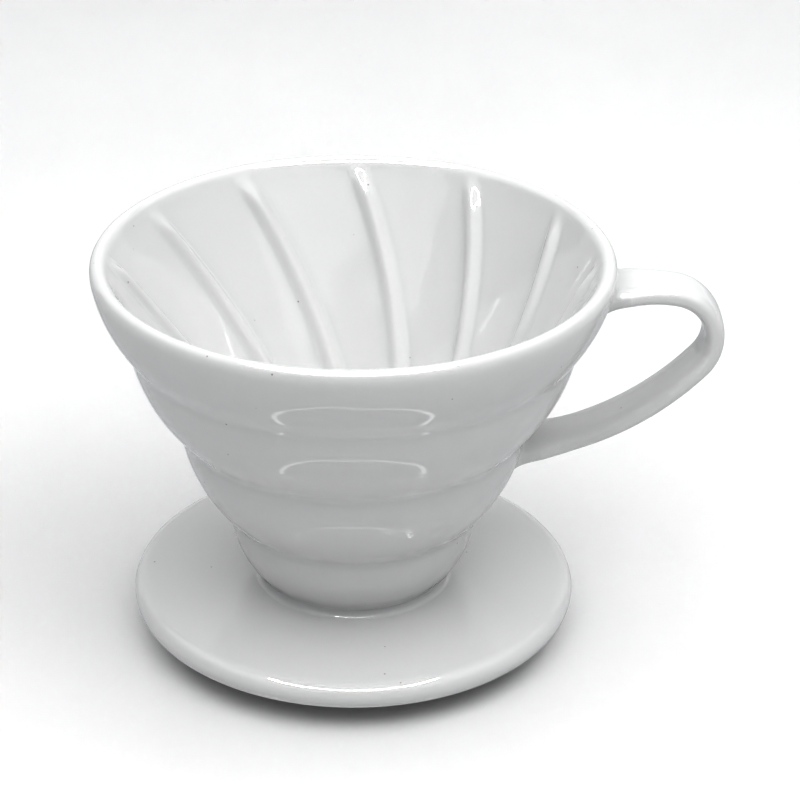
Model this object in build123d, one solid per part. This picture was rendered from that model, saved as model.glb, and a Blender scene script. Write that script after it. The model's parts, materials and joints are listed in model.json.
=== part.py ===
from build123d import *
from math import atan2, cos, hypot, pi, radians, sin, sqrt, tan
import os

# Pour-over coffee dripper in glazed porcelain: a 60 degree cone with spiral ribs inside and four
# soft tiers outside, a saucer-shaped base plate, a locating ring under it, and a strap handle.
# The four cast pieces are luted together with slip, so each joint is a thin layer of its own.
# Millimetres, +Z up. The origin is on the cone's axis, level with the bottom of the locating ring,
# and the handle points along +X.

# --- cone, inside ---
drip_hole_radius = 9.5
drip_hole_land = 1.1
cone_half_angle = 30.0
mouth_radius = 54.0
lip_thickness = 4.0

# --- cone, outside: four tiers between three grooves, counted from the mouth down ---
groove_shares = (0.780, 0.510, 0.220)
groove_walls = (6.2, 7.3, 9.3)
neck_wall = 12.0
neck_height = 1.2
tier_bulges = (1.4, 2.0, 2.5, 1.9)

# --- ribs that keep the paper filter off the wall ---
rib_count = 12
rib_height = 1.6
rib_base_width = 4.8
first_rib_angle = -1.0
rib_twist_per_mm = 0.49
rib_top_gap = 1.0
rib_bottom_gap = 4.0
rib_end_ramp = 5.0

# --- base plate and the ring under it ---
plate_radius = 50.9
plate_thickness = 6.0
plate_edge_radius = 2.9
ring_outer_radius = 35.0
ring_wall = 5.0
ring_depth = 5.0
vent_count = 3
vent_width = 9.0
vent_height = 2.0
first_vent_angle = 60.0

# --- strap handle ---
strap_width = 12.8
strap_thickness = 4.6
strap_corner = 1.9
handle_reach = 24.3
bend_radius = 10.6
bend_drop = 10.0
upper_root_drop = 9.3
upper_root_slope = 13.0
lower_root_drop = 7.2
lower_root_slope = 8.0
root_overrun = 6.0

# --- slip that joins the pieces ---
slip_thickness = 0.5
score_depth = 0.4
ring_bead = 1.0
plate_bead = 1.6
collar_flare = 2.0
collar_length = 4.5
collar_edge = 0.2

# --- worked out from the sizes above ---
plate_underside = ring_depth
plate_top = plate_underside + plate_thickness
foot_level = plate_top + slip_thickness
hole_top = foot_level + drip_hole_land
cone_slope = tan(radians(cone_half_angle))
lip_radius = lip_thickness / 2
lip_level = hole_top + (mouth_radius - drip_hole_radius) / cone_slope
rim_top = lip_level + lip_radius
rim_radius = mouth_radius + lip_thickness
cone_height = lip_level - foot_level


def inner_radius(level):
    """Radius of the filter cone at a height."""
    return max(drip_hole_radius, drip_hole_radius + (level - hole_top) * cone_slope)


def tier_points():
    """Outline points of the outside, from the rim down to the neck, as (radius, height)."""
    points = [(rim_radius, lip_level)]
    for share, wall in zip(groove_shares, groove_walls):
        level = foot_level + share * cone_height
        points.append((inner_radius(level) + wall, level))
    points.append((drip_hole_radius + neck_wall, foot_level + neck_height))
    return points


def tier_circle(top, bottom, bulge):
    """Centre and radius of the arc that bulges outwards between two outline points."""
    chord = hypot(top[0] - bottom[0], top[1] - bottom[1])
    radius = (chord ** 2 / 4 + bulge ** 2) / (2 * bulge)
    outward = ((top[1] - bottom[1]) / chord, (bottom[0] - top[0]) / chord)
    middle = ((top[0] + bottom[0]) / 2, (top[1] + bottom[1]) / 2)
    back = radius - bulge
    return (middle[0] - outward[0] * back, middle[1] - outward[1] * back), radius


def tier_crest(top, bottom, bulge):
    """The middle point of a tier's arc."""
    centre, radius = tier_circle(top, bottom, bulge)
    angle = atan2((top[1] + bottom[1]) / 2 - centre[1], (top[0] + bottom[0]) / 2 - centre[0])
    return (centre[0] + radius * cos(angle), centre[1] + radius * sin(angle))


def outer_radius(level):
    """Radius of the tiered outside at a height."""
    points = tier_points()
    for top, bottom, bulge in zip(points[:-1], points[1:], tier_bulges):
        if bottom[1] <= level <= top[1]:
            centre, radius = tier_circle(top, bottom, bulge)
            return centre[0] + sqrt(radius ** 2 - (level - centre[1]) ** 2)
    raise ValueError("the level is outside the tiers")


def turned(outline):
    """A closed outline in the XZ plane turned about the cone's axis."""
    return revolve(make_face(Plane.XZ * outline), Axis.Z)


def outside_edges(grow):
    """The tiers and the neck as edges, grown outwards by a radial distance."""
    points = tier_points()
    edges = []
    for top, bottom, bulge in zip(points[:-1], points[1:], tier_bulges):
        crest = tier_crest(top, bottom, bulge)
        edges.append(ThreePointArc((top[0] + grow, top[1]), (crest[0] + grow, crest[1]),
                                   (bottom[0] + grow, bottom[1])))
    neck = points[-1]
    edges.append(Line((neck[0] + grow, neck[1]), (neck[0] + grow, foot_level)))
    return edges


def make_cone_blank(grow=0.0):
    """The outside of the cone filled to its axis, for trimming what joins it."""
    edges = Curve() + outside_edges(grow)
    neck_radius = drip_hole_radius + neck_wall + grow
    edges += Polyline((neck_radius, foot_level), (0, foot_level), (0, lip_level),
                      (rim_radius + grow, lip_level))
    return turned(edges)


def make_rib():
    """One rib: a round bar along a conical helix, trimmed so that its ends ramp into the wall."""
    half_width = rib_base_width / 2
    bar_radius = (half_width ** 2 + rib_height ** 2) / (2 * rib_height)
    sink = bar_radius - rib_height
    start = hole_top + rib_bottom_gap
    finish = lip_level - rib_top_gap
    start_radius = inner_radius(start) + sink / cos(radians(cone_half_angle))
    path = Helix(pitch=360 / rib_twist_per_mm, height=finish - start, radius=start_radius,
                 center=(0, 0, start), cone_angle=cone_half_angle)
    start_angle = -rib_twist_per_mm * (finish - start)
    section = Plane(path @ 0, z_dir=path % 0) * Circle(bar_radius)
    bar = sweep(section, path=path)
    return Rot(0, 0, start_angle) * bar & make_rib_envelope(start, finish)


def make_rib_envelope(start, finish):
    """The space that a rib may fill: over the wall, tapering to nothing at both ends."""
    normal_in = (-cos(radians(cone_half_angle)), sin(radians(cone_half_angle)))

    def off_wall(level, distance):
        return (inner_radius(level) + normal_in[0] * distance, level + normal_in[1] * distance)

    clear = rib_height + 0.4
    root = -lip_thickness / 4
    outline = Polyline(off_wall(start, root), off_wall(finish, root), off_wall(finish, 0),
                       off_wall(finish - rib_end_ramp, clear), off_wall(start + rib_end_ramp, clear),
                       off_wall(start, 0), close=True)
    return turned(outline)


def make_cone_body():
    """The tiered cone with its rounded lip, its drip hole and its ribs, cast in one."""
    edges = Curve() + outside_edges(0)
    edges += ThreePointArc((mouth_radius, lip_level), (mouth_radius + lip_radius, rim_top),
                           (rim_radius, lip_level))
    edges += Polyline((drip_hole_radius + neck_wall, foot_level), (drip_hole_radius, foot_level),
                      (drip_hole_radius, hole_top), (mouth_radius, lip_level))
    body = turned(edges)
    rib = make_rib()
    turns = [first_rib_angle + index * 360 / rib_count for index in range(rib_count)]
    return body + [Rot(0, 0, turn) * rib for turn in turns]


def make_base_plate():
    """The round plate that covers the mug's mouth, with a rounded edge, the drip hole, and the
    shallow scored channel that keys the slip over the locating ring."""
    blank = Pos(0, 0, plate_underside) * Cylinder(plate_radius, plate_thickness,
                                                  align=(Align.CENTER, Align.CENTER, Align.MIN))
    rims = blank.edges().filter_by(GeomType.CIRCLE)
    plate = fillet(rims, min(plate_edge_radius, 0.49 * plate_thickness))
    hole = Pos(0, 0, plate_underside) * Cylinder(drip_hole_radius, 3 * plate_thickness)
    channel = Cylinder(ring_outer_radius + ring_bead, 2 * score_depth)
    channel -= Cylinder(ring_outer_radius - ring_wall - ring_bead, 2 * score_depth)
    return plate - hole - Pos(0, 0, plate_underside) * channel


def make_locating_ring():
    """The ring that drops inside a mug's mouth, notched so that air can leave."""
    low = (Align.CENTER, Align.CENTER, Align.MIN)
    height = ring_depth - slip_thickness
    ring = Cylinder(ring_outer_radius, height, align=low)
    ring -= Cylinder(ring_outer_radius - ring_wall, height, align=low)
    notch = Pos(ring_outer_radius - ring_wall / 2, 0, 0) * Box(2 * ring_wall, vent_width,
                                                               2 * vent_height)
    for index in range(vent_count):
        ring -= Rot(0, 0, first_vent_angle + index * 360 / vent_count) * notch
    return ring


def make_slip_joint_base():
    """The slip between the cone's foot and the plate, with the fillet round the outside."""
    neck_radius = drip_hole_radius + neck_wall
    top = (neck_radius, foot_level + neck_height)
    toe = (neck_radius + plate_bead, plate_top)
    edges = Curve() + [Polyline(top, (neck_radius, foot_level), (drip_hole_radius, foot_level),
                                (drip_hole_radius, plate_top), toe)]
    edges += TangentArc(toe, top, tangent=(-1, 0))
    return turned(edges)


def make_slip_joint_ring():
    """The slip between the locating ring and the plate, with a small fillet on both sides. It
    fills the plate's scored channel."""
    outer = ring_outer_radius
    inner = ring_outer_radius - ring_wall
    ring_top = plate_underside - slip_thickness
    bead_foot = plate_underside - ring_bead
    channel_roof = plate_underside + score_depth
    outer_toe = (outer + ring_bead, plate_underside)
    inner_toe = (inner - ring_bead, plate_underside)
    edges = Curve() + [Polyline(inner_toe, (inner_toe[0], channel_roof),
                                (outer_toe[0], channel_roof), outer_toe)]
    edges += TangentArc(outer_toe, (outer, bead_foot), tangent=(-1, 0))
    edges += Polyline((outer, bead_foot), (outer, ring_top), (inner, ring_top), (inner, bead_foot))
    edges += TangentArc(inner_toe, (inner, bead_foot), tangent=(1, 0))
    return turned(edges)


def run_circle(root, heading, bend_centre):
    """Centre and radius of the arc that leaves a root point on a heading and meets the bend
    circle without a kink. The bend's centre lies to the right of the heading."""
    right = (sin(radians(heading)), -cos(radians(heading)))
    away = (root[0] - bend_centre[0], root[1] - bend_centre[1])
    square = away[0] ** 2 + away[1] ** 2
    radius = (bend_radius ** 2 - square) / (2 * (right[0] * away[0] + right[1] * away[1] + bend_radius))
    return (root[0] + radius * right[0], root[1] + radius * right[1]), radius


def arc_between(centre, start, end):
    """The short arc about a centre from one point to another."""
    a = atan2(start[1] - centre[1], start[0] - centre[0])
    b = atan2(end[1] - centre[1], end[0] - centre[0])
    turn = (b - a + pi) % (2 * pi) - pi
    radius = hypot(start[0] - centre[0], start[1] - centre[1])
    middle = (centre[0] + radius * cos(a + turn / 2), centre[1] + radius * sin(a + turn / 2))
    return ThreePointArc(start, middle, end)


def handle_path():
    """Middle line of the strap in the XZ plane: two long arcs joined by a tight bend, with a
    straight run into the wall at each root. Also gives the two root points and headings."""
    upper_level = rim_top - upper_root_drop
    lower_level = tier_points()[2][1] - lower_root_drop
    upper = (outer_radius(upper_level), upper_level)
    lower = (outer_radius(lower_level), lower_level)
    bend_x = rim_radius + handle_reach - strap_thickness / 2 - bend_radius
    bend = (bend_x, upper_level - bend_drop)
    out_heading = upper_root_slope
    back_heading = 180 - lower_root_slope
    joins = []
    circles = []
    for root, heading in ((upper, out_heading), (lower, -back_heading)):
        centre, radius = run_circle(root, heading, bend)
        span = hypot(bend[0] - centre[0], bend[1] - centre[1])
        reach = bend_radius / span
        joins.append((bend[0] + (bend[0] - centre[0]) * reach, bend[1] + (bend[1] - centre[1]) * reach))
        circles.append(centre)
    out_way = (cos(radians(out_heading)), sin(radians(out_heading)))
    back_way = (cos(radians(-back_heading)), sin(radians(-back_heading)))
    buried_upper = (upper[0] - root_overrun * out_way[0], upper[1] - root_overrun * out_way[1])
    buried_lower = (lower[0] + root_overrun * back_way[0], lower[1] + root_overrun * back_way[1])
    path = Curve() + [Line(buried_upper, upper), arc_between(circles[0], upper, joins[0]),
                      arc_between(bend, joins[0], joins[1]), arc_between(circles[1], joins[1], lower),
                      Line(lower, buried_lower)]
    return Plane.XZ * path


def strap_section(place, grow=0.0):
    """The strap's rounded rectangle on a plane, its width along Y, grown all round."""
    corner = min(strap_corner, 0.45 * strap_thickness) + grow
    return place * RectangleRounded(strap_width + 2 * grow, strap_thickness + 2 * grow, corner)


def strap_plane(wire, distance):
    """The plane across the strap at a distance along its middle line."""
    where = wire.position_at(distance, position_mode=PositionMode.LENGTH)
    way = wire.tangent_at(distance, position_mode=PositionMode.LENGTH)
    return Plane(where, x_dir=(0, 1, 0), z_dir=way)


def make_handle(wire):
    """The strap, cut short of the wall at both roots by the thickness of the slip."""
    strap = sweep(strap_section(strap_plane(wire, 0)), path=wire)
    return strap - make_cone_blank(slip_thickness)


def make_handle_joint(wire, handle, root_distance, direction):
    """The slip at one root: a collar that flares from the strap to the wall, and a layer behind."""
    outer = strap_section(strap_plane(wire, root_distance + direction * collar_length), collar_edge)
    inner = strap_section(strap_plane(wire, root_distance - direction * collar_flare), collar_flare)
    collar = loft([outer.face(), inner.face()], ruled=True)
    return collar - make_cone_blank() - handle


def build_parts():
    """Every node by name."""
    wire = Wire(handle_path().edges())
    if wire.position_at(0).Z < wire.position_at(1).Z:
        wire = Wire(wire.reversed())
    handle = make_handle(wire)
    return {
        "cone_body": make_cone_body(),
        "base_plate": make_base_plate(),
        "locating_ring": make_locating_ring(),
        "handle": handle,
        "slip_joint_base": make_slip_joint_base(),
        "slip_joint_ring": make_slip_joint_ring(),
        "slip_joint_handle_upper": make_handle_joint(wire, handle, root_overrun, 1),
        "slip_joint_handle_lower": make_handle_joint(wire, handle, wire.length - root_overrun, -1),
    }


os.makedirs("parts", exist_ok=True)
for node, shape in build_parts().items():
    export_step(shape, "parts/" + node + ".step")
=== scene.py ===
"""Glazed porcelain pour-over dripper: the cone, plate, ring, handle and slip joints as smooth
worked-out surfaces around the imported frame, laid out as an add-on and run as a script."""
import json
import math

import bpy
import numpy as np
from bpy.props import FloatProperty, FloatVectorProperty, IntProperty, PointerProperty
from mathutils import Matrix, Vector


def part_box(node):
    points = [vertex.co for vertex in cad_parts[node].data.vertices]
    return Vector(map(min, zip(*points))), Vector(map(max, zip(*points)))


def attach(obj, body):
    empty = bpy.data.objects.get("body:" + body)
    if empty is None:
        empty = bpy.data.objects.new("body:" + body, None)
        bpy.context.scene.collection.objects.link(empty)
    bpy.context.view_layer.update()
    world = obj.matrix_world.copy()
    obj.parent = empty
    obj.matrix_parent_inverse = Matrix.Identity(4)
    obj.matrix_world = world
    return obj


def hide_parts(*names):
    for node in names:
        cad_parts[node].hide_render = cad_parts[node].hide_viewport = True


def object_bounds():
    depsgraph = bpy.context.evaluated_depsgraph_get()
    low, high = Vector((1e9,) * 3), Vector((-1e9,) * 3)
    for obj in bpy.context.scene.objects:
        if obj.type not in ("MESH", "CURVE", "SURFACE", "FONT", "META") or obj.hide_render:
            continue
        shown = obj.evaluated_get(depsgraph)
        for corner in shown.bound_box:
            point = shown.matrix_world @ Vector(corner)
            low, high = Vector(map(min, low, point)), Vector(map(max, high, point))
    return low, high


bl_info = {
    "name": "Pour-over dripper",
    "version": (1, 0, 0),
    "blender": (4, 5, 0),
    "location": "View3D > Sidebar > Dripper",
    "description": "Builds a glazed porcelain pour-over coffee dripper and its studio",
    "category": "Add Mesh",
}

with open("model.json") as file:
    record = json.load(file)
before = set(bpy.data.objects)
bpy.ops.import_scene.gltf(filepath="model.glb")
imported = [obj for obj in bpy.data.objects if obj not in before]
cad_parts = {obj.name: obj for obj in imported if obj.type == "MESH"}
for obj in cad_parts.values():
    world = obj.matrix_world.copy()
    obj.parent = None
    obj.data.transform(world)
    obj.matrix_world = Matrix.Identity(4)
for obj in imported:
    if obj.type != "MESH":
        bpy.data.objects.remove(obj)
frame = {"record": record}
CAD_LOW, CAD_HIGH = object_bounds()

MM = 0.001
MOUNTS = {mount["name"]: mount for mount in frame["record"]["mounts"]}
CONE_LOW, CONE_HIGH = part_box("cone_body")
PLATE_LOW, PLATE_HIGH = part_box("base_plate")
RING_LOW, RING_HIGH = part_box("locating_ring")
HANDLE_LOW, HANDLE_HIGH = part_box("handle")
RING_SLIP_LOW, RING_SLIP_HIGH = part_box("slip_joint_ring")
BASE_SLIP_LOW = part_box("slip_joint_base")[0]

HOLE_RADIUS = MOUNTS["drip_hole"]["dims"]["r_mm"] * MM
RING_RADIUS = MOUNTS["locating_ring"]["dims"]["r_mm"] * MM
LIP_LEVEL = MOUNTS["filter_seat"]["pos_m"][2]
TURN = 2 * math.pi

# The waves in the cone's wall: size in mm, waves round the cone, radians for each mm of height,
# and where they start. Inside the calm radius they get smaller towards the axis.
WAVES = ((0.030, 5, 0.11, 0.4), (0.022, 9, -0.23, 1.9),
         (0.016, 14, 0.31, 4.1), (0.010, 23, -0.52, 2.6))
CALM_RADIUS = 20 * MM
FLOOR_HALF = 3.0
LAMP_SEGMENTS = 96
FILLET_POINTS = 24
COLLAR_ROWS = 20
STRAP_POINTS = 260
SHARP_EDGE = math.radians(50)
# Turn of a hollow at which its glaze pooling and painted shade are full.
FULL_POOL_AND_SHADE_TURN = math.radians(50)


# ---------------------------------------------------------------------------- settings

def length(name, description, default, **more):
    """A size in metres, shown as a distance."""
    return FloatProperty(name=name, description=description, default=default, unit="LENGTH",
                         subtype="DISTANCE", precision=5, **more)


def share(name, description, default):
    """A plain number from 0 to 1."""
    return FloatProperty(name=name, description=description, default=default, min=0, max=1,
                         subtype="FACTOR")


def angle(name, description, degrees):
    """An angle, given in degrees and kept in radians."""
    return FloatProperty(name=name, description=description, default=math.radians(degrees),
                         subtype="ANGLE", unit="ROTATION")


def colour(name, description, default):
    """A linear colour."""
    return FloatVectorProperty(name=name, description=description, default=default, size=3,
                               subtype="COLOR", min=0, max=1)


class DripperConeSizes(bpy.types.PropertyGroup):
    """Sizes of the cone, its tiers, its lip and its ribs."""
    lip_thickness: length("Lip thickness", "Width of the rounded lip", 4.0 * MM)
    half_angle: angle("Half angle", "Half of the filter cone's angle", 30.0)
    groove_shares: FloatVectorProperty(
        name="Groove heights", description="Height of each groove as a share of the cone",
        default=(0.780, 0.510, 0.220), size=3, subtype="NONE")
    groove_walls: FloatVectorProperty(
        name="Groove walls", description="Level wall thickness at each groove",
        default=(6.2 * MM, 7.3 * MM, 9.3 * MM), size=3, unit="LENGTH", precision=5)
    tier_bulges: FloatVectorProperty(
        name="Tier bulges", description="How far each tier swells out of its chord",
        default=(1.4 * MM, 2.0 * MM, 2.5 * MM, 1.9 * MM), size=4, unit="LENGTH", precision=5)
    neck_wall: length("Neck wall", "Level wall thickness at the neck", 12.0 * MM)
    neck_height: length("Neck height", "Height of the neck over the slip", 1.2 * MM)
    softening: length("Softening", "How far glaze and sponging round the grooves", 1.2 * MM)
    foot_radius: length("Foot radius", "Radius of the fillet round the cone's foot", 1.4 * MM)
    feather: length("Feather", "How far the slip runs out up the lowest tier", 2.6 * MM)
    rib_count: IntProperty(name="Ribs", description="Number of ribs inside", default=12, min=1)
    rib_height: length("Rib height", "How far a rib stands off the wall", 1.35 * MM)
    rib_half_width: length("Rib half width", "From a rib's crest to its foot", 2.9 * MM)
    rib_twist: angle("Rib twist", "Turn of a rib for each millimetre of height", 0.49)
    first_rib: angle("First rib", "Bearing of the first rib's top from the handle", -1.0)


class DripperBaseSizes(bpy.types.PropertyGroup):
    """Sizes of the base plate, the locating ring and the slip that joins them."""
    plate_edge: length("Plate edge", "Rounding of the plate's edge", 2.95 * MM)
    ring_wall: length("Ring wall", "Thickness of the locating ring", 5.0 * MM)
    ring_edge: length("Ring edge", "Rounding of the ring's lower edges", 0.8 * MM)
    vent_count: IntProperty(name="Vents", description="Air notches in the ring", default=3, min=0)
    vent_width: length("Vent width", "Width of an air notch", 9.0 * MM)
    vent_height: length("Vent height", "Height of an air notch", 2.0 * MM)
    first_vent: angle("First vent", "Bearing of the first notch from the handle", 60.0)


class DripperHandleSizes(bpy.types.PropertyGroup):
    """Sizes of the strap handle and its roots."""
    thickness: length("Strap thickness", "Thickness of the strap", 4.6 * MM)
    squareness: FloatProperty(name="Squareness", default=2.9, min=2, max=8, subtype="NONE",
                              description="2 is an oval strap, more is squarer")
    bend_radius: length("Bend radius", "Radius of the strap's tight bend", 10.6 * MM)
    bend_drop: length("Bend drop", "Height of the upper root over the bend's centre", 10.0 * MM)
    upper_drop: length("Upper root", "Depth of the upper root under the rim", 9.3 * MM)
    upper_slope: angle("Upper slope", "Rise of the strap where it leaves the rim", 13.0)
    lower_drop: length("Lower root", "Depth of the lower root under the second groove", 7.2 * MM)
    lower_slope: angle("Lower slope", "Rise of the strap where it leaves the lower root", 8.0)
    collar: length("Collar", "Length of the slip collar at each root", 4.5 * MM)
    root_spread: length("Root spread", "How much the strap widens on each side", 1.3 * MM)
    spread_reach: length("Spread reach", "Length over which the strap widens", 11.0 * MM)
    flare_width: length("Flare in width", "How far a collar spreads sideways", 2.0 * MM)
    upper_flare: length("Upper flare", "How far the upper collar spreads up and down", 2.6 * MM)
    lower_flare: length("Lower flare", "How far the lower collar spreads up and down", 0.7 * MM)


class DripperGlaze(bpy.types.PropertyGroup):
    """Colours of the glaze and of the bare clay."""
    thin: colour("Thin glaze", "Where the glaze is thin", (0.64, 0.64, 0.637))
    # The darker glaze tone: used for glaze pooling and painted shade in hollows, and for random
    # clouding.
    pooled_and_shaded: colour("Pooled glaze", "Where the glaze gathers in a hollow", (0.575, 0.585, 0.585))
    speck: colour("Iron speck", "The tiny dark specks in the clay", (0.16, 0.11, 0.08))
    biscuit: colour("Bare clay", "The unglazed foot", (0.74, 0.71, 0.65))
    speck_share: share("Speck share", "Share of the cells that hold a speck", 0.10)


class DripperStudio(bpy.types.PropertyGroup):
    """The camera, the floor and the lights."""
    distance: length("Camera distance", "From the aim point to the lens", 598.9 * MM)
    elevation: angle("Camera elevation", "Camera's height over the horizon", 27.85)
    aim_height: length("Aim height", "Height of the aim point on the axis", 55.1 * MM)
    lens: FloatProperty(name="Lens", description="Focal length in millimetres", default=119.5,
                        min=10, subtype="NONE")
    shift: FloatProperty(name="Shift", description="Sideways lens shift", default=0.0583,
                         subtype="NONE")
    gamma: FloatProperty(name="Gamma", description="Gamma of the picture, lower is more contrast",
                         default=0.64, min=0.1, subtype="NONE")
    floor_colour: colour("Floor", "The pale floor", (0.72, 0.72, 0.72))
    top_power: FloatProperty(name="Top light", description="Power of the overhead softbox",
                             default=14.6, min=0, unit="POWER")
    key_power: FloatProperty(name="Key light", description="Power of the softbox over the lens",
                             default=2.2, min=0, unit="POWER")
    back_power: FloatProperty(name="Back light", description="Power of the white wall behind",
                              default=6.5, min=0, unit="POWER")
    side_power: FloatVectorProperty(name="Side lights", default=(1.6, 3.1), min=0, size=2,
                                    description="Power of the softboxes to the left and right",
                                    unit="POWER")
    ring_radius: length("Ring radius", "Radius of the ring of lamps", 241.0 * MM)
    ring_forward: length("Ring forward", "How far the ring's middle is towards the lens", 110.0 * MM)
    ring_height: length("Ring height", "Height of the ring over the table", 600.0 * MM)
    ring_width: length("Ring width", "Width of the ring of lamps", 26.0 * MM)
    image_width: length("Image width", "Width of the ring's image in the table", 18.0 * MM)
    ring_glow: FloatProperty(name="Ring glow", description="Radiance of the ring of lamps",
                             default=130.0, min=0, subtype="NONE")
    image_glow: FloatProperty(name="Image glow", description="Radiance of the ring's image",
                              default=2.3, min=0, subtype="NONE")
    ground: share("Ground", "Brightness of the table as the glaze reflects it", 0.7)
    sky: share("Sky", "Strength of the even light from all round", 0.34)


# ---------------------------------------------------------------------------- mesh building

def skin(name, points, pool_and_shade, wrap_rows):
    """Makes a closed mesh object from a grid of points, rows by columns by 3. Columns always
    join up round the piece. Rows join up too, or else each end is closed by a fan to its middle.
    The third argument holds, for each grid point, how much glaze pools there and how much
    painted shade darkens it."""
    rows, columns = points.shape[:2]
    index = np.arange(rows * columns).reshape(rows, columns)
    beside = np.roll(index, -1, axis=1)
    if wrap_rows:
        quads = [index, beside, np.roll(beside, -1, axis=0), np.roll(index, -1, axis=0)]
    else:
        quads = [index[:-1], beside[:-1], beside[1:], index[1:]]
    quads = np.stack(quads, -1).reshape(-1, 4)
    places = points.reshape(-1, 3)
    pool_and_shade_values = pool_and_shade.reshape(-1)
    fans = np.zeros((0, 3), int)
    if not wrap_rows:
        first, last = len(places), len(places) + 1
        places = np.vstack([places, points[0].mean(0), points[-1].mean(0)])
        pool_and_shade_values = np.append(pool_and_shade_values, (pool_and_shade[0].mean(), pool_and_shade[-1].mean()))
        ends = [np.column_stack([beside[0], index[0], np.full(columns, first)]),
                np.column_stack([index[-1], beside[-1], np.full(columns, last)])]
        fans = np.vstack(ends)
    if enclosed_volume(places, quads, fans) < 0:
        quads, fans = quads[:, ::-1], fans[:, ::-1]
    mesh = bpy.data.meshes.new(name)
    mesh.vertices.add(len(places))
    mesh.vertices.foreach_set("co", places.astype(np.float32).ravel())
    corners = np.concatenate([quads.ravel(), fans.ravel()]).astype(np.int32)
    starts = np.concatenate([np.arange(len(quads)) * 4, len(quads) * 4 + np.arange(len(fans)) * 3])
    mesh.loops.add(len(corners))
    mesh.loops.foreach_set("vertex_index", corners)
    mesh.polygons.add(len(starts))
    mesh.polygons.foreach_set("loop_start", starts.astype(np.int32))
    mesh.polygons.foreach_set("use_smooth", np.ones(len(starts), bool))
    mesh.update(calc_edges=True)
    mesh.validate()
    mesh.set_sharp_from_angle(angle=SHARP_EDGE)
    # Stores how much glaze pooling and painted shade darken each point.
    pool_and_shade_field = mesh.attributes.new("pool_and_shade", "FLOAT", "POINT")
    pool_and_shade_field.data.foreach_set("value", pool_and_shade_values.astype(np.float32))
    piece = bpy.data.objects.new(name, mesh)
    bpy.context.scene.collection.objects.link(piece)
    return piece


def enclosed_volume(places, quads, fans):
    """Signed volume inside a closed mesh: a sixth of the triple product of each triangle's corners,
    added up. It is positive when the faces point outwards."""
    triangles = np.vstack([quads[:, (0, 1, 2)], quads[:, (0, 2, 3)], fans])
    a, b, c = (places[triangles[:, k]] for k in range(3))
    return np.einsum("ij,ij->i", a, np.cross(b, c)).sum() / 6


def settle(piece, material, slot, *nodes):
    """Gives a finished piece its material, and ties it to the frame."""
    piece.data.materials.append(material)
    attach(piece, "root")
    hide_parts(*nodes)


def arc(start, end, bulge, count):
    """Points on the circle arc from start to end whose middle stands off the chord by bulge, to
    the left of the way. Half of the arc's angle is twice the arctangent of bulge over half the
    chord, and the points are evenly spaced by angle."""
    start, end = np.asarray(start, float), np.asarray(end, float)
    chord = end - start
    half = np.hypot(*chord) / 2
    half_turn = 2 * math.atan2(bulge, half)
    turn = np.linspace(-half_turn, half_turn, count)[:, None]
    along = (np.sin(turn) / math.sin(half_turn) + 1) / 2
    off = half * (np.cos(turn) - math.cos(half_turn)) / math.sin(half_turn)
    left = np.array([-chord[1], chord[0]]) / (2 * half)
    return start + along * chord + off * left


def straight(start, end, count):
    """Evenly spaced points from start to end."""
    return np.linspace(start, end, count)


def run_lengths(path, closed):
    """Distance along a path to each of its points, and for a closed path the whole way round."""
    steps = np.diff(np.vstack([path, path[:1]]) if closed else path, axis=0)
    return np.concatenate([[0], np.cumsum(np.linalg.norm(steps, axis=1))])


def spaced(path, distances, closed):
    """Points of a path at the given distances along it, by linear interpolation."""
    runs = run_lengths(path, closed)
    corners = np.vstack([path, path[:1]]) if closed else path
    return np.column_stack([np.interp(distances, runs, corners[:, k]) for k in range(path.shape[1])])


def soften(outline, reach, step=0.1 * MM):
    """A closed outline with its corners rounded as glaze rounds them: each point becomes the
    average of its neighbours, weighted by a bell curve of the distance along the outline."""
    whole = run_lengths(outline, True)[-1]
    count = int(whole / step)
    fine = spaced(outline, np.arange(count) * whole / count, True)
    frequency = np.fft.fftfreq(count, d=whole / count)
    bell = np.exp(-2 * (math.pi * frequency * reach) ** 2)[:, None]
    return np.real(np.fft.ifft(np.fft.fft(fine, axis=0) * bell, axis=0))


def crowd(outline, count, pull):
    """Picks count points round a closed outline, closer together where it turns: the spacing
    is even in the distance plus pull times the angle turned."""
    way = np.roll(outline, -1, axis=0) - outline
    heading = np.unwrap(np.arctan2(way[:, 1], way[:, 0]))
    whole = TURN * round((heading[-1] - heading[0]) / TURN)
    turn = np.abs(np.diff(np.append(heading, heading[0] + whole)))
    near = 9
    window = np.ones(2 * near + 1) / (2 * near + 1)
    turn = np.convolve(np.concatenate([turn[-near:], turn, turn[:near]]), window, "valid")
    weight = np.concatenate([[0], np.cumsum(np.linalg.norm(way, axis=1) + pull * turn)])
    runs = run_lengths(outline, True)
    picked = np.interp(np.arange(count) * weight[-1] / count, weight, runs)
    return spaced(outline, picked, True)


def turned_bend(outline, reach):
    """How hollow a closed outline is at each point, from 0 to 1: its turn to the other side than
    its whole way round, over a distance of reach; it sets glaze pooling and painted shade there."""
    way = np.roll(outline, -1, axis=0) - np.roll(outline, 1, axis=0)
    heading = np.unwrap(np.arctan2(way[:, 1], way[:, 0]))
    step = np.linalg.norm(way, axis=1).mean() / 2
    gap = max(1, int(reach / step))
    whole = TURN * np.sign(heading[-1] - heading[0])
    padded = np.concatenate([heading[-gap:] - whole, heading, heading[:gap] + whole])
    turn = (padded[2 * gap:] - padded[:-2 * gap]) * np.sign(whole)
    return np.clip(-turn / FULL_POOL_AND_SHADE_TURN, 0, 1)


def smoothstep(low, high, value):
    """From 0 at low to 1 at high by an S-shaped rise, and held beyond them. low may be the larger."""
    t = np.clip((value - low) / (high - low), 0, 1)
    return t * t * (3 - 2 * t)


def all_round(columns=360):
    """Evenly spaced bearings, once round the axis."""
    return np.arange(columns) / columns * TURN


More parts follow.
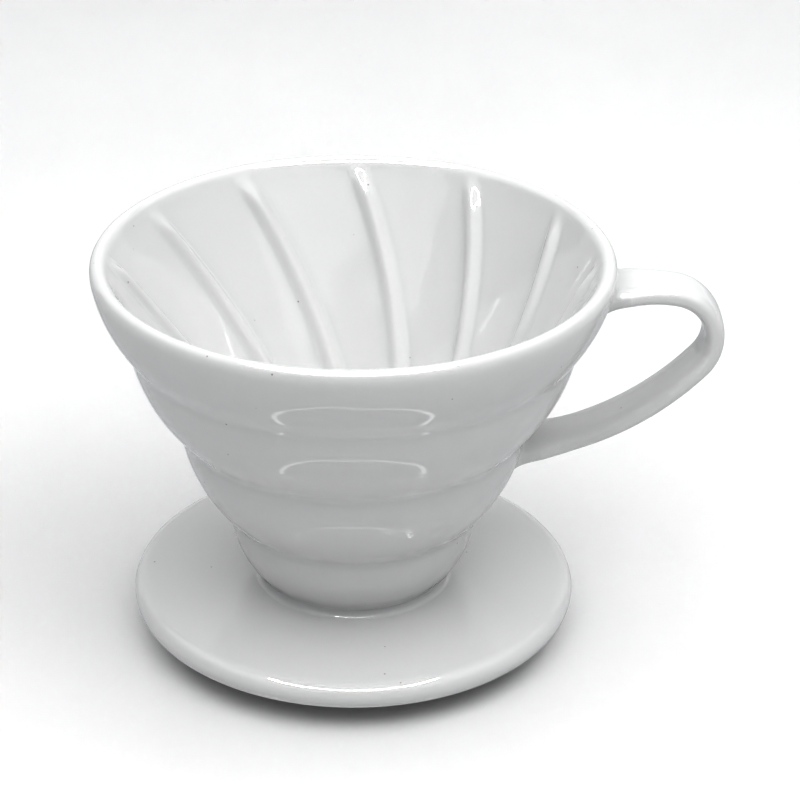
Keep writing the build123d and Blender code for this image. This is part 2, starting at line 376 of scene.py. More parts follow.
def lathe(outline, azimuths):
    """Turns an outline of (radius, height) about the axis. azimuths is one row of angles for all
    outline points, or a row for each."""
    azimuths = np.broadcast_to(azimuths, (len(outline), np.shape(azimuths)[-1]))
    radius, level = outline[:, :1], outline[:, 1:]
    return np.stack([radius * np.cos(azimuths), radius * np.sin(azimuths),
                     np.broadcast_to(level, azimuths.shape)], -1)


# ---------------------------------------------------------------------------- the cone

def filter_mouth(sizes):
    """Radius of the filter cone at the lip."""
    return -CONE_LOW.x - sizes.lip_thickness


def hole_top_level(sizes):
    """Height at which the filter cone is as narrow as the drip hole."""
    return LIP_LEVEL - (filter_mouth(sizes) - HOLE_RADIUS) / math.tan(sizes.half_angle)


def tier_points(sizes):
    """The ends of the tiers from the rim down to the neck, set off from the filter cone by the
    wall's thickness."""
    foot = CONE_LOW.z
    hollow = LIP_LEVEL - foot
    slope = math.tan(sizes.half_angle)
    hole_top = hole_top_level(sizes)
    points = [(-CONE_LOW.x, LIP_LEVEL)]
    for part, wall in zip(sizes.groove_shares, sizes.groove_walls):
        level = foot + part * hollow
        points.append((HOLE_RADIUS + (level - hole_top) * slope + wall, level))
    points.append((HOLE_RADIUS + sizes.neck_wall, foot + sizes.neck_height))
    return points


def tier_outline(sizes, per_tier=60):
    """The outside of the cone from the rim down to the neck, as four arcs that bulge outwards."""
    points = tier_points(sizes)
    arcs = [arc(top, bottom, bulge, per_tier)
            for top, bottom, bulge in zip(points[:-1], points[1:], sizes.tier_bulges)]
    return np.vstack([arcs[0]] + [a[1:] for a in arcs[1:]])


def outer_radius(sizes, levels):
    """Radius of the cone's outside at each level, read from its outline."""
    outline = tier_outline(sizes)[::-1]
    return np.interp(levels, outline[:, 1], outline[:, 0])


def cone_outline(sizes):
    """The closed outline of the cone's wall: down the tiers, in along the foot, up the drip hole
    and the filter cone, and over the lip, which is half a circle."""
    foot = CONE_LOW.z
    lip = sizes.lip_thickness / 2
    mouth, hole_top = filter_mouth(sizes), hole_top_level(sizes)
    over = np.linspace(math.pi, 0, 60)[1:-1, None]
    centre = np.array([mouth + lip, LIP_LEVEL])
    return np.vstack([
        tier_outline(sizes),
        straight((HOLE_RADIUS + sizes.neck_wall, foot), (HOLE_RADIUS, foot), 40),
        straight((HOLE_RADIUS, foot), (HOLE_RADIUS, hole_top), 8)[1:],
        straight((HOLE_RADIUS, hole_top), (mouth, LIP_LEVEL), 200)[1:],
        centre + lip * np.hstack([np.cos(over), np.sin(over)]),
    ])


def rippled(points):
    """Points moved to or from the axis by the faint waves that fettling and glaze leave in a
    turned wall: a sum of a few sines of the bearing and the height, up to 0.08 mm each way."""
    bearing, level = np.arctan2(points[..., 1], points[..., 0]), points[..., 2] / MM
    shift = MM * sum(size * np.sin(turns * bearing + rise * level + start)
                     for size, turns, rise, start in WAVES)
    radius = np.maximum(np.hypot(points[..., 0], points[..., 1]), CALM_RADIUS)
    return points * (1 + (shift / radius)[..., None] * [1, 1, 0])


def inside_share(sizes, outline):
    """How far each outline point belongs to the ribbed inside, from 0 on the tiers to 1 on the
    filter cone: an S-shaped rise about the middle of the wall, and on the lip just inside its
    top."""
    radius, level = outline.T
    mouth = filter_mouth(sizes)
    filter_radius = mouth - (LIP_LEVEL - level) * math.tan(sizes.half_angle)
    through = (radius - filter_radius) / (outer_radius(sizes, level) - filter_radius)
    over_lip = smoothstep(mouth + 3 * MM, mouth, radius)
    return np.where(level > LIP_LEVEL, over_lip, smoothstep(0.62, 0.38, through))


def rib_offsets(sizes, radius, inside, columns, crowded=0.56):
    """Angles of one rib's columns from its crest, a row for each outline point. Inside, the
    crowded share of them spans 1.2 times the rib's width. Outside they are evenly spaced."""
    sector = math.pi / sizes.rib_count
    rib_span = np.clip(1.2 * sizes.rib_half_width / radius, 0, 0.8 * sector)
    span = (inside * rib_span + (1 - inside) * crowded * sector)[:, None]
    place = (np.arange(columns) + 0.5) / columns * 2 - 1
    over_rib = place / crowded * span
    beyond = (np.abs(place) - crowded) / (1 - crowded) * (sector - span)
    return np.where(np.abs(place) <= crowded, over_rib, np.sign(place) * (span + beyond))


def rib_fade(level, hole_top):
    """How much of a rib's height stands at each level: it ramps up over the drip hole, and down
    towards the lip, by S-shaped rises."""
    return (smoothstep(hole_top + 1 * MM, hole_top + 10 * MM, level)
            * smoothstep(LIP_LEVEL + 0.8 * MM, LIP_LEVEL - 6.5 * MM, level))


def cone_surface(sizes, rows=250, columns_per_rib=32):
    """The cone as a grid. Rows follow the wall's softened outline. Columns follow the ribs down
    inside, so that they turn with height, and crowd over each rib. A rib's height over the wall
    is (1 - x squared) squared, where x is the distance from its crest over its half width."""
    outline = crowd(soften(cone_outline(sizes), sizes.softening), rows, 4.0 * MM)
    radius, level = outline.T
    hole_top = hole_top_level(sizes)
    inside = inside_share(sizes, outline)
    offset = rib_offsets(sizes, radius, inside, columns_per_rib)
    crest_top = LIP_LEVEL - 1.0 * MM
    twist = -sizes.rib_twist / MM * np.maximum(crest_top - level, 0) * inside
    centres = sizes.first_rib + np.arange(sizes.rib_count) * TURN / sizes.rib_count
    azimuth = centres[None, :, None] + twist[:, None, None] + offset[:, None, :]
    azimuth = azimuth.reshape(len(outline), -1)
    narrow = 0.65 + 0.35 * smoothstep(hole_top, hole_top + 30 * MM, level)
    x = radius[:, None] * offset / (sizes.rib_half_width * narrow[:, None])
    fade = (rib_fade(level, hole_top) * inside)[:, None]
    height = sizes.rib_height * np.clip(1 - x ** 2, 0, 1) ** 2 * fade
    height = np.tile(height, (1, sizes.rib_count))
    points = lathe(outline, azimuth)
    tilt_out, tilt_up = math.cos(sizes.half_angle), math.sin(sizes.half_angle)
    points[..., 0] -= height * tilt_out * np.cos(azimuth)
    points[..., 1] -= height * tilt_out * np.sin(azimuth)
    points[..., 2] += height * tilt_up
    # Glaze pooling and painted shade: the hollows of the grooves and the feet of the ribs are
    # darkened.
    rib_foot_pool_and_shade = np.exp(-((np.abs(x) - 1.0) / 0.35) ** 2) * fade
    pool_and_shade = turned_bend(outline, 1.2 * MM)[:, None] + 0.5 * np.tile(rib_foot_pool_and_shade, (1, sizes.rib_count))
    return rippled(points), np.clip(pool_and_shade, 0, 1)


class DRIPPER_OT_cone(bpy.types.Operator):
    """Builds the ribbed and tiered cone"""
    bl_idname = "dripper.cone"
    bl_label = "Cone"

    def execute(self, context):
        points, pool_and_shade = cone_surface(context.scene.dripper_cone)
        piece = skin("glazed_cone", points, pool_and_shade, True)
        settle(piece, glaze_material(context.scene.dripper_glaze), "body_glaze", "cone_body")
        return {"FINISHED"}


# ---------------------------------------------------------------------------- plate and ring

def plate_outline(base):
    """The closed outline of the plate's section: flat faces joined by a rounded edge."""
    low, high, rim = PLATE_LOW.z, PLATE_HIGH.z, -PLATE_LOW.x
    edge = min(base.plate_edge, 0.499 * (high - low))
    lower = np.linspace(-math.pi / 2, 0, 30)[:, None]
    upper = np.linspace(0, math.pi / 2, 30)[:, None]
    return np.vstack([
        straight((HOLE_RADIUS, high), (HOLE_RADIUS, low), 12),
        straight((HOLE_RADIUS, low), (rim - edge, low), 120)[1:-1],
        np.array([rim - edge, low + edge]) + edge * np.hstack([np.cos(lower), np.sin(lower)]),
        np.array([rim - edge, high - edge]) + edge * np.hstack([np.cos(upper), np.sin(upper)]),
        straight((rim - edge, high), (HOLE_RADIUS, high), 120)[1:-1],
    ])


class DRIPPER_OT_plate(bpy.types.Operator):
    """Builds the round base plate"""
    bl_idname = "dripper.plate"
    bl_label = "Base plate"

    def execute(self, context):
        outline = crowd(soften(plate_outline(context.scene.dripper_base), 0.25 * MM), 120, 2.0 * MM)
        points = lathe(outline, all_round())
        pool_and_shade = np.zeros(points.shape[:2])
        piece = skin("glazed_base_plate", points, pool_and_shade, True)
        settle(piece, glaze_material(context.scene.dripper_glaze), "plate_glaze", "base_plate")
        return {"FINISHED"}


def ring_surface(base, columns=720):
    """The ring as a grid: a rectangle with rounded lower edges turned about the axis. In each
    vent the rows are squeezed towards the top by an S-shaped rise at either side."""
    outer, inner = RING_RADIUS, RING_RADIUS - base.ring_wall
    top, low, edge = RING_HIGH.z, RING_LOW.z, base.ring_edge
    quarter = np.linspace(0, math.pi / 2, 12)[:, None]
    outline = np.vstack([
        straight((inner, top), (inner, low + edge), 12),
        np.array([inner + edge, low + edge]) - edge * np.hstack([np.cos(quarter), np.sin(quarter)]),
        straight((inner + edge, low), (outer - edge, low), 12),
        np.array([outer - edge, low + edge]) + edge * np.hstack([np.sin(quarter), -np.cos(quarter)]),
        straight((outer, low + edge), (outer, top), 12),
        straight((outer, top), (inner, top), 12),
    ])
    outline = crowd(soften(outline, 0.12 * MM), 72, 1.0 * MM)
    azimuth = all_round(columns)
    points = lathe(outline, azimuth)
    lift = np.zeros(columns)
    for count in range(base.vent_count):
        bearing = base.first_vent + count * TURN / base.vent_count
        apart = np.abs((azimuth - bearing + math.pi) % TURN - math.pi) * RING_RADIUS
        lift += base.vent_height * smoothstep(base.vent_width / 2 + 0.5 * MM,
                                              base.vent_width / 2 - 0.9 * MM, apart)
    height = top - low
    points[..., 2] = top - (top - points[..., 2]) * (1 - lift / height)
    return points


class DRIPPER_OT_ring(bpy.types.Operator):
    """Builds the unglazed locating ring under the plate"""
    bl_idname = "dripper.ring"
    bl_label = "Locating ring"

    def execute(self, context):
        points = ring_surface(context.scene.dripper_base)
        piece = skin("bare_locating_ring", points, np.zeros(points.shape[:2]), True)
        settle(piece, biscuit_material(context.scene.dripper_glaze), "bare_biscuit", "locating_ring")
        return {"FINISHED"}


# ---------------------------------------------------------------------------- slip under the cone

def hollow_fillet(toe, top, count=14):
    """Points of a hollow curve from a toe that lies flat on a face up to a point over it. It is a
    quadratic curve whose middle control point is the corner between the two."""
    toe, top = np.asarray(toe, float), np.asarray(top, float)
    corner = np.array([top[0], toe[1]])
    t = np.linspace(0, 1, count)[:, None]
    return (1 - t) ** 2 * toe + 2 * t * (1 - t) * corner + t ** 2 * top


def foot_fillet(cone, sunk=0.02 * MM):
    """Points of the hollow arc that leaves the plate flat, sunk a hair into it, and meets the
    lowest tier without a kink, and of a thin feather that it runs out to up the tier. The arc's
    centre is its radius over its toe, and the two radii's sum from the centre of the tier's arc."""
    top, bottom = np.array(tier_points(cone)[-2:])
    chord = bottom - top
    bulge, half = cone.tier_bulges[3], np.hypot(*chord) / 2
    tier = (half ** 2 + bulge ** 2) / (2 * bulge)
    out = np.array([-chord[1], chord[0]]) / (2 * half)
    centre = (top + bottom) / 2 - (tier - bulge) * out
    level = BASE_SLIP_LOW.z - sunk + cone.foot_radius
    reach = math.sqrt((tier + cone.foot_radius) ** 2 - (level - centre[1]) ** 2)
    middle = np.array([centre[0] + reach, level])
    way = centre - middle
    turn = np.linspace(1.5 * math.pi, math.atan2(way[1], way[0]), FILLET_POINTS)[:, None]
    rise = math.atan2(-way[1], -way[0]) + np.linspace(0, cone.feather / tier, 10)[1:, None]
    return np.vstack([middle + cone.foot_radius * np.hstack([np.cos(turn), np.sin(turn)]),
                      centre + tier * np.hstack([np.cos(rise), np.sin(rise)])])


def base_slip_outline(cone):
    """Slip between cone and plate: a thin layer out from the drip hole, and the fillet from the
    plate up to the lowest tier."""
    inside = (HOLE_RADIUS + cone.neck_wall - 1 * MM, CONE_LOW.z)
    plate, foot = BASE_SLIP_LOW.z, CONE_LOW.z
    fillet = foot_fillet(cone)
    return np.vstack([
        fillet,
        straight(fillet[-1], inside, 4)[1:],
        straight(inside, (HOLE_RADIUS, foot), 20)[1:],
        straight((HOLE_RADIUS, foot), (HOLE_RADIUS, plate), 4)[1:],
        straight((HOLE_RADIUS, plate), fillet[0], 24)[1:-1],
    ])


def ring_slip_outline(base):
    """Slip between plate and ring: a thin layer with a hollow fillet on either side of the ring."""
    plate, under, ring_top = PLATE_LOW.z, RING_SLIP_LOW.z, RING_HIGH.z
    outer, inner = RING_RADIUS, RING_RADIUS - base.ring_wall
    reach = RING_SLIP_HIGH.x - outer
    return np.vstack([
        hollow_fillet((outer + reach, plate), (outer, under)),
        straight((outer, under), (outer, ring_top), 3)[1:],
        straight((outer, ring_top), (inner, ring_top), 12)[1:],
        straight((inner, ring_top), (inner, under), 3)[1:],
        hollow_fillet((inner - reach, plate), (inner, under))[::-1][1:],
        straight((inner - reach, plate), (outer + reach, plate), 16)[1:-1],
    ])


class DRIPPER_OT_base_slip(bpy.types.Operator):
    """Builds the slip joints over and under the plate"""
    bl_idname = "dripper.base_slip"
    bl_label = "Slip at the plate"

    def execute(self, context):
        scene = context.scene
        points = rippled(lathe(base_slip_outline(scene.dripper_cone), all_round()))
        pool_and_shade = np.zeros(points.shape[:2])
        # Painted shade, partly glaze pooling: darkens the foot fillet, most at its middle.
        pool_and_shade[:FILLET_POINTS] = 0.5 * np.sin(np.linspace(0, math.pi, FILLET_POINTS))[:, None]
        piece = skin("slip_fillet_at_foot", points, pool_and_shade, True)
        settle(piece, glaze_material(scene.dripper_glaze), "plate_glaze", "slip_joint_base")
        points = lathe(ring_slip_outline(scene.dripper_base), all_round())
        piece = skin("slip_fillet_at_ring", points, np.zeros(points.shape[:2]), True)
        settle(piece, biscuit_material(scene.dripper_glaze), "bare_biscuit", "slip_joint_ring")
        return {"FINISHED"}


# ---------------------------------------------------------------------------- the handle

def leaving_circle(root, heading, bend, bend_radius):
    """Centre of the arc that leaves a root on a heading, turning right, and meets the bend circle
    without a kink: its centre is off the root by its radius, and off the bend's centre by the
    difference of the two radii."""
    right = np.array([math.sin(heading), -math.cos(heading)])
    away = root - bend
    radius = (bend_radius ** 2 - away @ away) / (2 * (right @ away + bend_radius))
    return root + radius * right


def about(centre, start, end, step=0.25 * MM):
    """Points of the short arc about a centre from start to end, about a step apart."""
    a, b = (math.atan2(*(point - centre)[::-1]) for point in (start, end))
    turn = (b - a + math.pi) % TURN - math.pi
    radius = np.linalg.norm(start - centre)
    bearing = a + np.linspace(0, 1, max(3, int(abs(turn) * radius / step)))[:, None] * turn
    return centre + radius * np.hstack([np.cos(bearing), np.sin(bearing)])


def strap_line(cone, strap):
    """The strap's middle line in the XZ plane from the upper root to the lower: a long arc, a
    tight bend and another long arc, each tangent to the next."""
    tiers = tier_outline(cone)
    groove = CONE_LOW.z + cone.groove_shares[1] * (LIP_LEVEL - CONE_LOW.z)
    levels = np.array([CONE_HIGH.z - strap.upper_drop, groove - strap.lower_drop])
    upper, lower = np.column_stack([np.interp(levels, tiers[::-1, 1], tiers[::-1, 0]), levels])
    bend = np.array([HANDLE_HIGH.x - strap.thickness / 2 - strap.bend_radius,
                     levels[0] - strap.bend_drop])
    centres = [leaving_circle(upper, strap.upper_slope, bend, strap.bend_radius),
               leaving_circle(lower, strap.lower_slope - math.pi, bend, strap.bend_radius)]
    joins = [bend + (bend - c) / np.linalg.norm(bend - c) * strap.bend_radius for c in centres]
    return np.vstack([about(centres[0], upper, joins[0]), about(bend, *joins)[1:],
                      about(centres[1], joins[1], lower)[1:]])


def strap_section(strap, columns):
    """The strap's section as (across, through): a superellipse, the signed power of cosine and
    sine, from a thin oval towards a rectangle as squareness grows."""
    turn = (np.arange(columns) + 0.5) / columns * TURN
    power = 2 / strap.squareness
    across = np.sign(np.cos(turn)) * np.abs(np.cos(turn)) ** power
    through = np.sign(np.sin(turn)) * np.abs(np.sin(turn)) ** power
    section = np.column_stack([across * (HANDLE_HIGH.y - HANDLE_LOW.y) / 2,
                               through * strap.thickness / 2])
    even = run_lengths(section, True)
    return spaced(section, np.arange(columns) * even[-1] / columns, True)


def placed(line, ways, section, widths):
    """Carries a section along a line in the XZ plane, its width along Y times a factor at each
    point of the line."""
    normals = np.column_stack([-ways[:, 1], ways[:, 0]])
    flat = line[:, None, :] + normals[:, None, :] * section[None, :, 1:]
    across = widths[:, None] * section[None, :, 0]
    return np.stack([flat[..., 0], across, flat[..., 1]], -1)


def wall_hit(cone, starts, way, step=12 * MM, tries=40):
    """Where lines from starts along a way meet the cone's outside. Each try goes half as far on as
    the try before, and counts where it stays outside, so the walls can be up to two steps off."""
    reach = np.zeros(len(starts))
    for _ in range(tries):
        tried = starts + (reach + step)[:, None] * way
        outside = np.hypot(tried[:, 0], tried[:, 1]) > outer_radius(cone, tried[:, 2])
        reach = np.where(outside, reach + step, reach)
        step /= 2
    return starts + reach[:, None] * way


def collar_surface(cone, strap, line, ways, section, widths, at_end, depth=1.2 * MM):
    """The slip collar at one root. Each line of the strap's side runs on towards the wall, and
    turns out into the wall along a quadratic curve, which ends where the flared section meets it.
    The collar closes at a depth inside the wall."""
    side = -1 if at_end else 0
    onward = ways[side] if at_end else -ways[side]
    way = np.array([onward[0], 0, onward[1]])
    root = line[side][None], ways[side][None]
    section = section * [widths[side], 1]
    start = placed(*root, section, np.ones(1))[0]
    flare = np.array([strap.flare_width, strap.lower_flare if at_end else strap.upper_flare])
    flared = placed(*root, section * (1 + flare / np.abs(section).max(0)), np.ones(1))[0]
    control = wall_hit(cone, start, way)
    landing = wall_hit(cone, flared, way)
    t = np.linspace(0, 1, COLLAR_ROWS)[:, None, None]
    rows = (1 - t) ** 2 * start + 2 * t * (1 - t) * control + t ** 2 * landing
    buried = landing + depth * way
    middle = buried.mean(0)
    closing = buried + (middle - buried) * 0.5
    points = np.concatenate([rows, buried[None], closing[None]])
    pool_and_shade = np.zeros(points.shape[:2])
    # Painted shade, partly glaze pooling: darkens the collar, most midway to the wall.
    pool_and_shade[:COLLAR_ROWS] = np.sin(np.linspace(0, math.pi, COLLAR_ROWS))[:, None] * 0.6
    return points, pool_and_shade


class DRIPPER_OT_handle(bpy.types.Operator):
    """Builds the strap handle and the slip collars at its two roots"""
    bl_idname = "dripper.handle"
    bl_label = "Handle"

    def execute(self, context):
        scene = context.scene
        cone, strap = scene.dripper_cone, scene.dripper_handle
        line = strap_line(cone, strap)
        whole = run_lengths(line, False)[-1]
        kept = np.linspace(strap.collar, whole - strap.collar, STRAP_POINTS)
        line = spaced(line, kept, False)
        ways = np.gradient(line, axis=0)
        ways /= np.linalg.norm(ways, axis=1)[:, None]
        section = strap_section(strap, 96)
        way_down = np.linspace(0, whole, STRAP_POINTS)
        to_root = np.minimum(way_down, np.linspace(whole, 0, STRAP_POINTS))
        spread = (1 - np.clip(to_root / strap.spread_reach, 0, 1)) ** 2 * strap.root_spread
        widths = 1 + spread / HANDLE_HIGH.y
        points = placed(line, ways, section, widths)
        piece = skin("glazed_handle", points, np.zeros(points.shape[:2]), False)
        settle(piece, glaze_material(scene.dripper_glaze), "handle_glaze", "handle")
        for at_end, name in ((False, "upper"), (True, "lower")):
            points, pool_and_shade = collar_surface(cone, strap, line, ways, section, widths, at_end)
            piece = skin("slip_collar_" + name, points, pool_and_shade, False)
            settle(piece, glaze_material(scene.dripper_glaze), "handle_glaze",
                   "slip_joint_handle_" + name)
        return {"FINISHED"}


# ---------------------------------------------------------------------------- materials

class Shader:
    """A small hand for wiring nodes: each call adds a node, sets its values and links its inputs."""

    def __init__(self, name):
        self.material = bpy.data.materials.new(name)
        self.material.use_nodes = True
        self.tree = self.material.node_tree
        self.tree.nodes.clear()

    def add(self, kind, settings=None, **inputs):
        """Adds a node. A key such as i7 is the number of an input, and others are its name."""
        node = self.tree.nodes.new("ShaderNode" + kind)
        for key, value in (settings or {}).items():
            setattr(node, key, value)
        for key, value in inputs.items():
            name = int(key[1:]) if key[1:].isdigit() else key.replace("_", " ")
            socket = node.inputs[name]
            if isinstance(value, bpy.types.NodeSocket):
                self.tree.links.new(value, socket)
            else:
                socket.default_value = value
        return node

    def spread(self, source, low, high, to_low, to_high):
        """Maps a value range onto another, held at its ends."""
        node = self.add("MapRange", {"clamp": True}, Value=source, From_Min=low, From_Max=high,
                        To_Min=to_low, To_Max=to_high)
        return node.outputs["Result"]

    def blend(self, factor, first, second):
        """Mixes two colours."""
        node = self.add("Mix", {"data_type": "RGBA"}, i0=factor, i6=first, i7=second)
        return node.outputs[2]

    def noise(self, place, scale, detail, roughness=0.5):
        """A noise pattern's value at a place."""
        node = self.add("TexNoise", None, Vector=place, Scale=scale, Detail=detail,
                        Roughness=roughness)
        return node.outputs["Fac"]

    def finish(self, surface):
        """Puts a surface on the material, and gives the material back."""
        output = self.add("OutputMaterial")
        self.tree.links.new(surface, output.inputs["Surface"])
        return self.material


def rgba(linear):
    """A colour property with full alpha."""
    return (*linear, 1.0)


def speckled(shader, place, colour_in, glaze, scale, size):
    """Puts sparse iron specks on a colour: in each cell of a pattern, a dot round its point where
    the cell's own random number is low."""
    cells = shader.add("TexVoronoi", {"feature": "F1"}, Vector=place, Scale=scale, Randomness=1.0)
    number = shader.add("SeparateColor", None, Color=cells.outputs["Color"])
    chosen = shader.add("Math", {"operation": "LESS_THAN"}, i0=number.outputs["Red"],
                        i1=glaze.speck_share)
    dot = shader.spread(cells.outputs["Distance"], size * 0.4, size, 0.6, 0.0)
    mark = shader.add("Math", {"operation": "MULTIPLY"}, i0=dot, i1=chosen.outputs[0])
    return shader.blend(mark.outputs[0], colour_in, rgba(glaze.speck))


def glaze_material(glaze):
    """Clear gloss glaze on white porcelain: darker and slightly blue-grey where it pools and where
    painted shade is laid in hollows, grooves and joints, faintly clouded, finely mottled, with
    sparse iron specks and a gloss that varies a little."""
    known = bpy.data.materials.get("porcelain_glaze")
    if known:
        return known
    shader = Shader("porcelain_glaze")
    place = shader.add("TexCoord").outputs["Object"]
    # The mesh's pooling attribute darkens the glaze: partly glaze pooling, partly painted shade in
    # hollows, grooves and joints.
    pool_and_shade_field = shader.add("Attribute", {"attribute_name": "pool_and_shade"}).outputs["Fac"]
    depth = shader.spread(pool_and_shade_field, 0.0, 1.0, 0.0, 0.75)
    body = shader.blend(depth, rgba(glaze.thin), rgba(glaze.pooled_and_shaded))
    cloud = shader.spread(shader.noise(place, 38.0, 3.0), 0.3, 0.7, 0.0, 0.10)
    body = shader.blend(cloud, body, rgba(glaze.pooled_and_shaded))
    grain = shader.spread(shader.noise(place, 1400.0, 2.0), 0.3, 0.7, 0.0, 0.10)
    body = shader.blend(grain, body, rgba(glaze.pooled_and_shaded))
    body = speckled(shader, place, body, glaze, 300.0, 0.085)
    rough = shader.spread(shader.noise(place, 240.0, 4.0), 0.3, 0.7, 0.03, 0.06)
    surface = shader.add("BsdfPrincipled", None, Base_Color=body, Roughness=rough, IOR=1.52,
                         Coat_Weight=0.2, Coat_Roughness=0.03, Coat_IOR=1.5)
    return shader.finish(surface.outputs["BSDF"])


def biscuit_material(glaze):
    """Bare fired clay on the foot: matt, sandy to the touch, a little darker where it has stood."""
    known = bpy.data.materials.get("bare_biscuit_clay")
    if known:
        return known
    shader = Shader("bare_biscuit_clay")
    place = shader.add("TexCoord").outputs["Object"]
    worn = tuple(0.72 * part for part in glaze.biscuit)
    cloud = shader.spread(shader.noise(place, 120.0, 4.0, 0.6), 0.35, 0.75, 0.0, 0.6)
    body = shader.blend(cloud, rgba(glaze.biscuit), rgba(worn))
    sand = shader.noise(place, 2600.0, 3.0, 0.7)
    body = shader.blend(shader.spread(sand, 0.35, 0.65, 0.0, 0.25), body, rgba(worn))
    body = speckled(shader, place, body, glaze, 260.0, 0.09)
    rough = shader.spread(sand, 0.3, 0.7, 0.78, 0.95)
    bump = shader.add("Bump", None, Strength=0.8, Distance=0.00006, Height=sand)
    surface = shader.add("BsdfPrincipled", None, Base_Color=body, Roughness=rough, IOR=1.45,
                         Normal=bump.outputs["Normal"])
    return shader.finish(surface.outputs["BSDF"])


def floor_material(studio):
    """A pale matt floor with the faintest unevenness."""
    shader = Shader("pale_floor")
    place = shader.add("TexCoord").outputs["Object"]
    dim = tuple(0.97 * part for part in studio.floor_colour)
    mottle = shader.spread(shader.noise(place, 9.0, 3.0), 0.3, 0.7, 0.0, 1.0)
    body = shader.blend(mottle, rgba(studio.floor_colour), rgba(dim))
    surface = shader.add("BsdfPrincipled", None, Base_Color=body, Roughness=0.5, IOR=1.45)
    return shader.finish(surface.outputs["BSDF"])


# ---------------------------------------------------------------------------- stage

def area_light(name, place, aim, size, power):
    """A rectangular softbox at a place, facing an aim point."""
    light = bpy.data.lights.new(name, "AREA")
    light.shape = "RECTANGLE"
    light.size, light.size_y = size
    light.energy = power
    lamp = bpy.data.objects.new(name, light)
    way = np.asarray(aim, float) - np.asarray(place, float)
    way /= np.linalg.norm(way)
    up = np.array([0.0, 0.0, 1.0]) if abs(way[2]) < 0.95 else np.array([0.0, 1.0, 0.0])
    right = np.cross(way, up)
    right /= np.linalg.norm(right)
    turned = np.eye(4)
    turned[:3, 0], turned[:3, 1], turned[:3, 2] = right, np.cross(right, way), -way
    turned[:3, 3] = place
    lamp.matrix_world = Matrix(turned.tolist())
    bpy.context.scene.collection.objects.link(lamp)
    return lamp


def glowing_ring(name, studio, level, width, glow):
    """A thin flat ring of lamps, two circles of points joined by quads, that only shows as a
    reflection, so that the even light casts no hard shadow."""
    inner = np.arange(LAMP_SEGMENTS)
    bearing = inner / LAMP_SEGMENTS * TURN
    radii = studio.ring_radius + np.array([[-width / 2], [width / 2]])
    places = np.stack([radii * np.cos(bearing), radii * np.sin(bearing) - studio.ring_forward,
                       np.full((2, LAMP_SEGMENTS), level)], -1).reshape(-1, 3)
    beside = (inner + 1) % LAMP_SEGMENTS
    quads = np.stack([inner, beside, beside + LAMP_SEGMENTS, inner + LAMP_SEGMENTS], -1)
    mesh = bpy.data.meshes.new(name)
    mesh.from_pydata(places.tolist(), [], quads.tolist())
    shader = Shader(name)
    material = shader.finish(shader.add("Emission", None, Strength=glow).outputs[0])
    material.cycles.emission_sampling = "NONE"
    mesh.materials.append(material)
    ring = bpy.data.objects.new(name, mesh)
    bpy.context.scene.collection.objects.link(ring)
    ring.visible_camera = ring.visible_diffuse = ring.visible_shadow = False


def tent(strength, ground):
    """An even light from all round, with the brightness of the table in its lower half."""
    world = bpy.data.worlds.new("even_light")
    world.use_nodes = True
    tree = world.node_tree
    background = tree.nodes["Background"]
    place = tree.nodes.new("ShaderNodeTexCoord")
    parts = tree.nodes.new("ShaderNodeSeparateXYZ")
    level = tree.nodes.new("ShaderNodeMapRange")
    level.inputs["From Min"].default_value = -0.04
    level.inputs["From Max"].default_value = 0.04
    level.inputs["To Min"].default_value = ground
    level.inputs["To Max"].default_value = strength
    tree.links.new(place.outputs["Generated"], parts.inputs["Vector"])
    tree.links.new(parts.outputs["Z"], level.inputs["Value"])
    tree.links.new(level.outputs["Result"], background.inputs["Strength"])
    background.inputs["Color"].default_value = (0.965, 0.98, 1, 1)
    return world


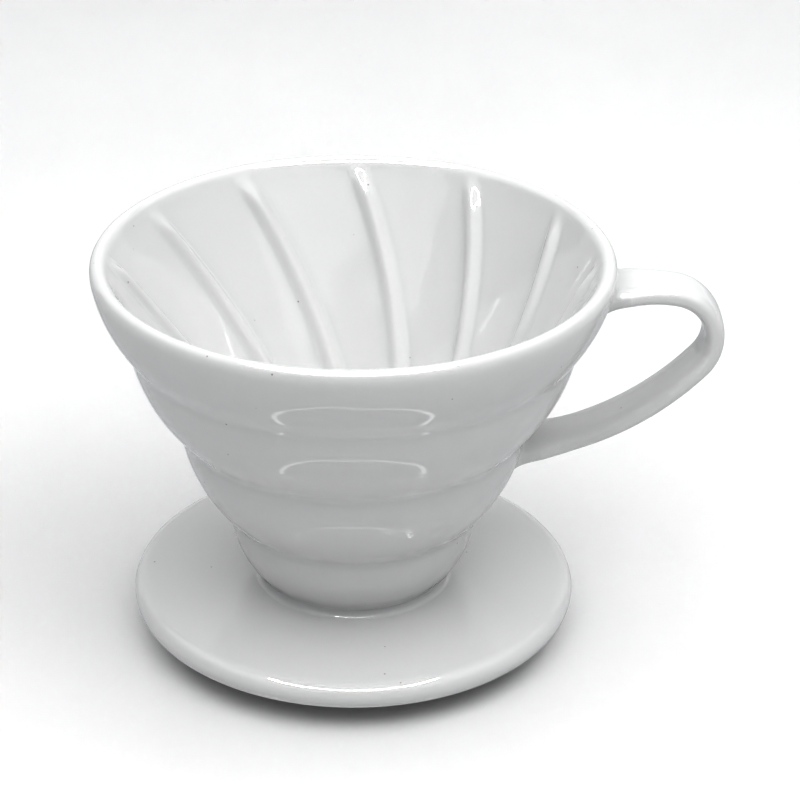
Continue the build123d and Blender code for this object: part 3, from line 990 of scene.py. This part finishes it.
class DRIPPER_OT_stage(bpy.types.Operator):
    """Sets the pale floor, the soft lights and the camera"""
    bl_idname = "dripper.stage"
    bl_label = "Stage"

    def execute(self, context):
        scene = context.scene
        studio = scene.dripper_studio
        half = FLOOR_HALF
        mesh = bpy.data.meshes.new("pale_floor")
        mesh.from_pydata([(-half, -half, CAD_LOW.z), (half, -half, CAD_LOW.z),
                          (half, half, CAD_LOW.z), (-half, half, CAD_LOW.z)], [], [(0, 1, 2, 3)])
        floor = bpy.data.objects.new("pale_floor", mesh)
        mesh.materials.append(floor_material(studio))
        scene.collection.objects.link(floor)
        floor.visible_glossy = False
        area_light("top_softbox", (0.1, -0.2, 1.0), (0.1, -0.2, 0), (2.4, 2.2), studio.top_power)
        cup = (0, 0, 0.05)
        key = area_light("key_softbox", (0.06, -0.36, 0.72), cup, (1.5, 0.4), studio.key_power)
        key.visible_glossy = False
        for side, x, power in zip(("left", "right"), (-0.42, 0.42), studio.side_power):
            lamp = area_light(side + "_softbox", (x, -0.12, 0.72), cup, (1.2, 0.4), power)
            lamp.visible_glossy = False
        area_light("back_wall", (0, 1.4, 0.6), (0, 0, 0.5), (3.0, 1.2), studio.back_power)
        height = studio.ring_height
        glowing_ring("ring_lamp", studio, height, studio.ring_width, studio.ring_glow)
        glowing_ring("ring_lamp_image", studio, -height, studio.image_width, studio.image_glow)
        scene.world = tent(studio.sky, studio.ground)
        camera = bpy.data.cameras.new("camera")
        camera.lens, camera.sensor_width, camera.shift_x = studio.lens, 36.0, studio.shift
        camera.clip_start = 0.01
        eye = bpy.data.objects.new("camera", camera)
        eye.location = (0, -studio.distance * math.cos(studio.elevation),
                        studio.aim_height + studio.distance * math.sin(studio.elevation))
        eye.rotation_euler = (math.pi / 2 - studio.elevation, 0, 0)
        scene.collection.objects.link(eye)
        scene.camera = eye
        scene.view_settings.view_transform = "Standard"
        scene.view_settings.gamma = studio.gamma
        return {"FINISHED"}


# ---------------------------------------------------------------------------- panel and start

class DRIPPER_PT_panel(bpy.types.Panel):
    """Lists the pieces and their settings in the sidebar"""
    bl_idname = "DRIPPER_PT_panel"
    bl_label = "Pour-over dripper"
    bl_space_type = "VIEW_3D"
    bl_region_type = "UI"
    bl_category = "Dripper"

    def draw(self, context):
        for group in SETTINGS:
            box = self.layout.box()
            settings = getattr(context.scene, group)
            for name in settings.bl_rna.properties.keys():
                if name not in ("rna_type", "name"):
                    box.prop(settings, name)
        for operator in OPERATORS:
            self.layout.operator(operator.bl_idname)


SETTINGS = {
    "dripper_cone": DripperConeSizes,
    "dripper_base": DripperBaseSizes,
    "dripper_handle": DripperHandleSizes,
    "dripper_glaze": DripperGlaze,
    "dripper_studio": DripperStudio,
}
OPERATORS = (DRIPPER_OT_cone, DRIPPER_OT_plate, DRIPPER_OT_ring, DRIPPER_OT_base_slip,
             DRIPPER_OT_handle, DRIPPER_OT_stage)


def register():
    """Adds the settings, the operators and the panel to Blender."""
    for cls in (*SETTINGS.values(), *OPERATORS, DRIPPER_PT_panel):
        bpy.utils.register_class(cls)
    for name, cls in SETTINGS.items():
        setattr(bpy.types.Scene, name, PointerProperty(type=cls))


def unregister():
    """Takes them away again."""
    for name in SETTINGS:
        delattr(bpy.types.Scene, name)
    for cls in reversed((*SETTINGS.values(), *OPERATORS, DRIPPER_PT_panel)):
        bpy.utils.unregister_class(cls)


def main():
    """Builds every piece and the stage."""
    register()
    bpy.ops.dripper.cone()
    bpy.ops.dripper.plate()
    bpy.ops.dripper.ring()
    bpy.ops.dripper.base_slip()
    bpy.ops.dripper.handle()
    bpy.ops.dripper.stage()


if __name__ == "__main__":
    main()
